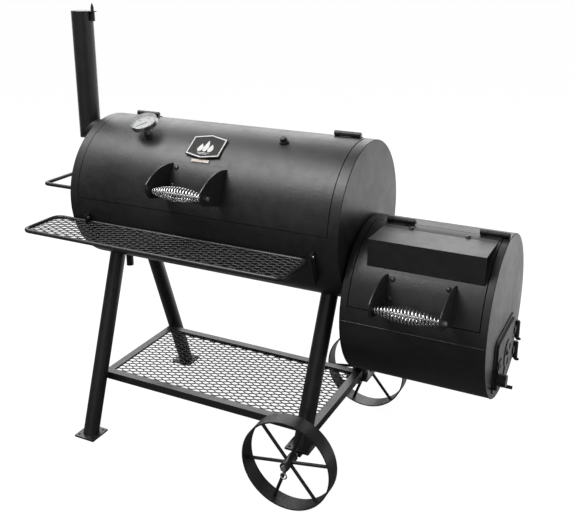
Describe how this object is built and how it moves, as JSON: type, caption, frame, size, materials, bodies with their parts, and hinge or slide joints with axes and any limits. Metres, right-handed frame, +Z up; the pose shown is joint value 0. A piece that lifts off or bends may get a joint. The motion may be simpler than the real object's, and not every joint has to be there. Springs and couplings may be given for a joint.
{
  "type": "offset smoker",
  "caption": "Charcoal smoker: a lidded cooking drum on legs and wheels, an offset side firebox, a chimney, a thermometer, spring handles and wire shelves.",
  "frame": {"origin": "centre of the bounding box's base, on the ground", "axes": "+X along both drums towards the firebox, +Y to the rear (hinge side), +Z up"},
  "size_m": [1.4818, 0.731, 1.3555],
  "materials": {
    "black_paint": "satin high-temperature black paint",
    "black_frame": "satin black paint on tube and angle",
    "chrome_wire": "bright chrome plating",
    "bare_steel": "plated steel",
    "gauge_metal": "polished steel",
    "gauge_face": "printed pale dial",
    "needle_black": "matt black",
    "gauge_glass": "clear",
    "plaque_face": "black enamel with a pale border",
    "nameplate_face": "cream enamel",
    "grate_iron": "black enamelled wire"
  },
  "bodies": {
    "frame": {"axle": "bare_steel", "axle_plates": "black_frame", "barrel_left_end": "black_paint", "barrel_right_end": "black_paint", "barrel_shell": "black_paint", "bottom_shelf_frame": "black_frame", "bottom_shelf_mesh": "black_frame", "charcoal_grate": "grate_iron", "chimney_elbow": "black_paint", "chimney_pipe": "black_paint", "cooking_grate_1": "grate_iron", "cooking_grate_2": "grate_iron", "cooking_grate_3": "grate_iron", "door_hinge_lugs": "black_paint", "firebox_left_end": "black_paint", "firebox_lower_shell": "black_paint", "firebox_right_end": "black_paint", "firebox_upper_shell": "black_paint", "foot_plates_left": "black_frame", "frame_fasteners": "bare_steel", "front_shelf_frame": "black_frame", "front_shelf_mesh": "black_frame", "grate_supports": "grate_iron", "grease_drain": "black_paint", "hinge_fixed_leaves": "black_paint", "hinge_pins": "black_paint", "latch_keeper": "black_paint", "leg_front_left": "black_frame", "leg_front_right": "black_frame", "leg_rear_left": "black_frame", "leg_rear_right": "black_frame", "lid_stop_rim": "black_paint", "passage_collar": "black_paint", "push_handle": "black_frame", "shelf_lugs": "black_frame"},
    "lid": {"main_lid": "black_paint", "barrel_moving_leaves": "black_paint", "main_handle_bracket": "black_paint", "main_handle_fasteners": "bare_steel", "gauge_case": "gauge_metal", "gauge_nut": "gauge_metal", "gauge_dial": "gauge_face", "gauge_glass": "gauge_glass", "probe_plug": "black_paint", "plaque": "plaque_face", "nameplate": "nameplate_face"},
    "firebox_lid": {"firebox_lid": "black_paint", "firebox_moving_leaves": "black_paint", "firebox_handle_bracket": "black_paint", "firebox_lid_fasteners": "bare_steel", "warming_plate": "black_paint"},
    "fire_door": {"fire_door": "black_paint"},
    "door_latch": {"door_latch": "black_paint"},
    "air_damper": {"air_damper": "black_paint"},
    "chimney_damper": {"chimney_damper": "black_paint"},
    "wheel_front": {"wheel_front": "black_frame"},
    "wheel_rear": {"wheel_rear": "black_frame"},
    "needle": {"gauge_needle": "needle_black"},
    "main_spring": {"main_handle_spring": "chrome_wire"},
    "firebox_spring": {"firebox_handle_spring": "chrome_wire"}
  },
  "joints": [
    {"name": "main_lid_hinge", "type": "hinge", "parent": "frame", "child": "lid", "pos_m": [-0.14645, 0.04543, 1.01719], "axis": [-1, 0, 0], "range_deg": [0, 120]},
    {"name": "firebox_lid_hinge", "type": "hinge", "parent": "frame", "child": "firebox_lid", "pos_m": [0.50505, 0.00407, 0.79993], "axis": [-1, 0, 0], "range_deg": [0, 120]},
    {"name": "fire_door_hinge", "type": "hinge", "parent": "frame", "child": "fire_door", "pos_m": [0.71405, 0.1485, 0.4395], "axis": [0, 0, 1], "range_deg": [0, 110]},
    {"name": "door_latch_turn", "type": "hinge", "parent": "fire_door", "child": "door_latch", "pos_m": [0.71195, -0.0635, 0.415], "axis": [1, 0, 0], "range_deg": [0, 60]},
    {"name": "air_damper_turn", "type": "hinge", "parent": "fire_door", "child": "air_damper", "pos_m": [0.71195, 0.0345, 0.449], "axis": [1, 0, 0], "range_deg": [0, 60]},
    {"name": "chimney_damper_turn", "type": "hinge", "parent": "frame", "child": "chimney_damper", "pos_m": [-0.64795, 0.0205, 1.3295], "axis": [0, 0, 1], "range_deg": [0, 110]},
    {"name": "wheel_front_spin", "type": "hinge", "parent": "frame", "child": "wheel_front", "pos_m": [0.19605, -0.2865, 0.1375], "axis": [0, 1, 0], "continuous": true},
    {"name": "wheel_rear_spin", "type": "hinge", "parent": "frame", "child": "wheel_rear", "pos_m": [0.19605, 0.3275, 0.1375], "axis": [0, 1, 0], "continuous": true},
    {"name": "gauge_needle_turn", "type": "hinge", "parent": "lid", "child": "needle", "pos_m": [-0.38295, -0.09593, 1.01872], "axis": [0, -0.4384, 0.8988], "range_deg": [-270, 0], "stiffness_Nm_per_rad": 0.002},
    {"name": "main_spring_turn", "type": "hinge", "parent": "lid", "child": "main_spring", "pos_m": [-0.15095, -0.27165, 0.87268], "axis": [1, 0, 0], "continuous": true},
    {"name": "firebox_spring_turn", "type": "hinge", "parent": "firebox_lid", "child": "firebox_spring", "pos_m": [0.51555, -0.27153, 0.64764], "axis": [1, 0, 0], "continuous": true}
  ]
}
